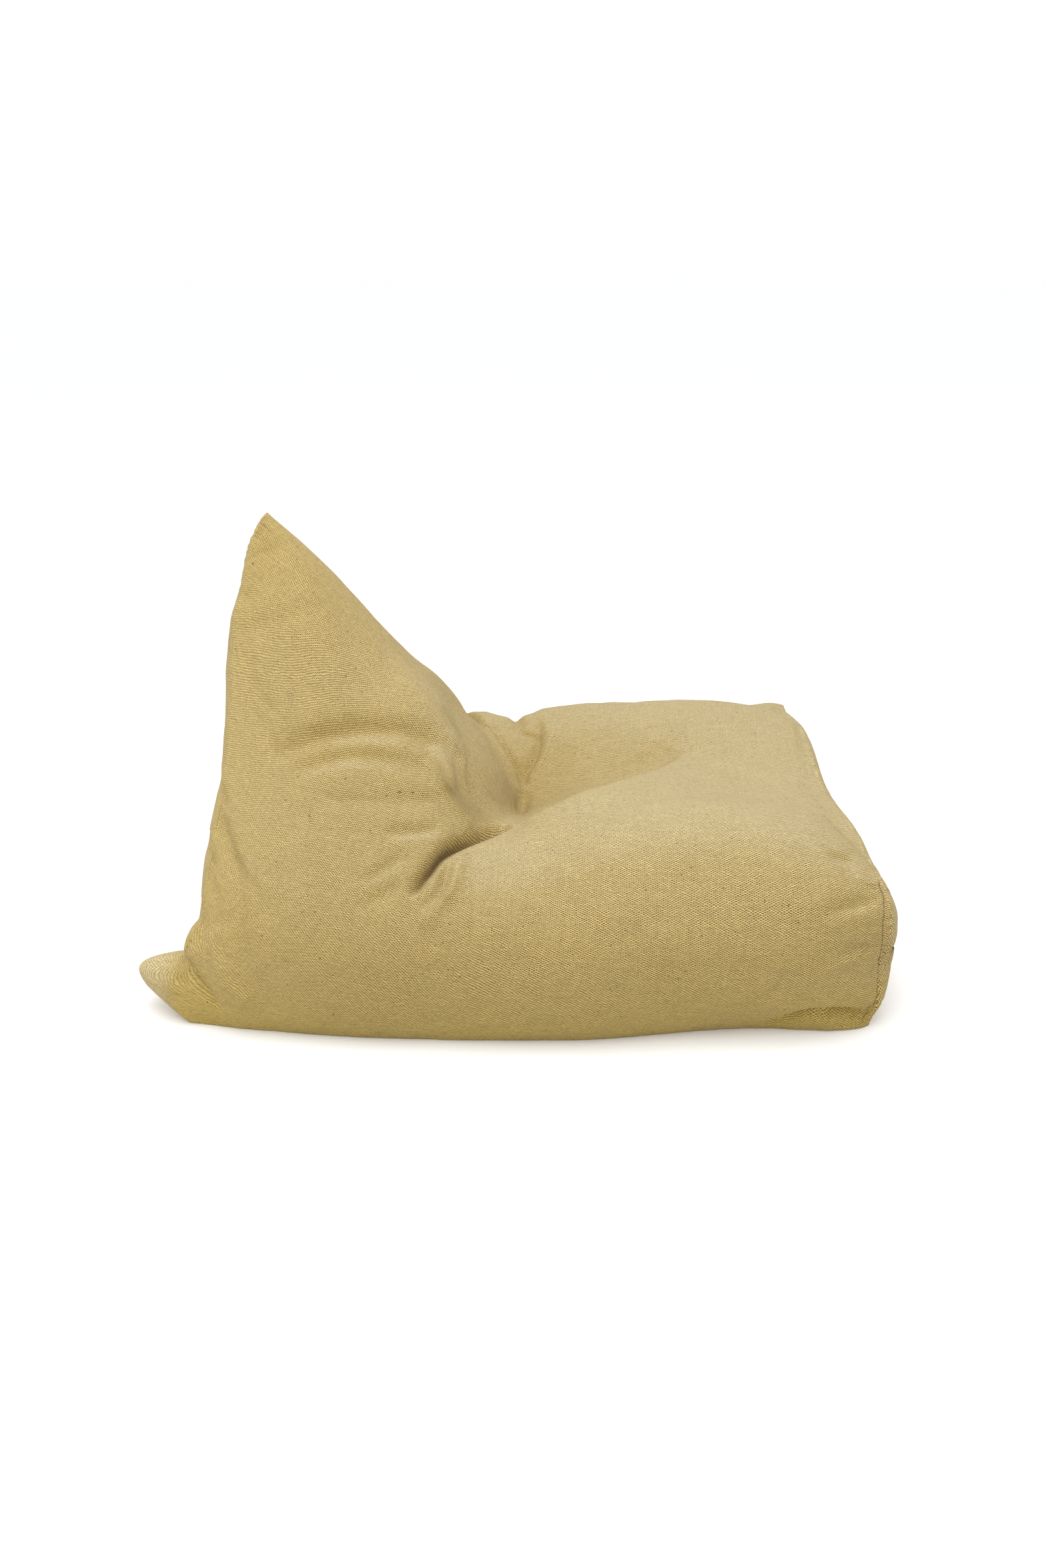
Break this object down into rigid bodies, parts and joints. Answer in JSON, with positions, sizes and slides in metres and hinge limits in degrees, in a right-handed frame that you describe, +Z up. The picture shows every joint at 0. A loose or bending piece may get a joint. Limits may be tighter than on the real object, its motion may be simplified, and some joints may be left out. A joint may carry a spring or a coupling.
{
  "type": "lounge pouf",
  "caption": "Filled lounge pouf of coarse mustard cotton: a low broad seat with a sit hollow and a pointed back, one floppy sack with pillow corners at its foot.",
  "frame": {"origin": "middle of the bounding box, on the floor under the sack", "axes": "+X from the pointed back to the front of the seat, +Y from the pictured side to the far side, +Z up"},
  "size_m": [1.1476, 0.9228, 0.6896],
  "materials": {
    "cotton": "coarse matte weave"
  },
  "bodies": {
    "root": {"sack": "cotton"}
  },
  "joints": []
}
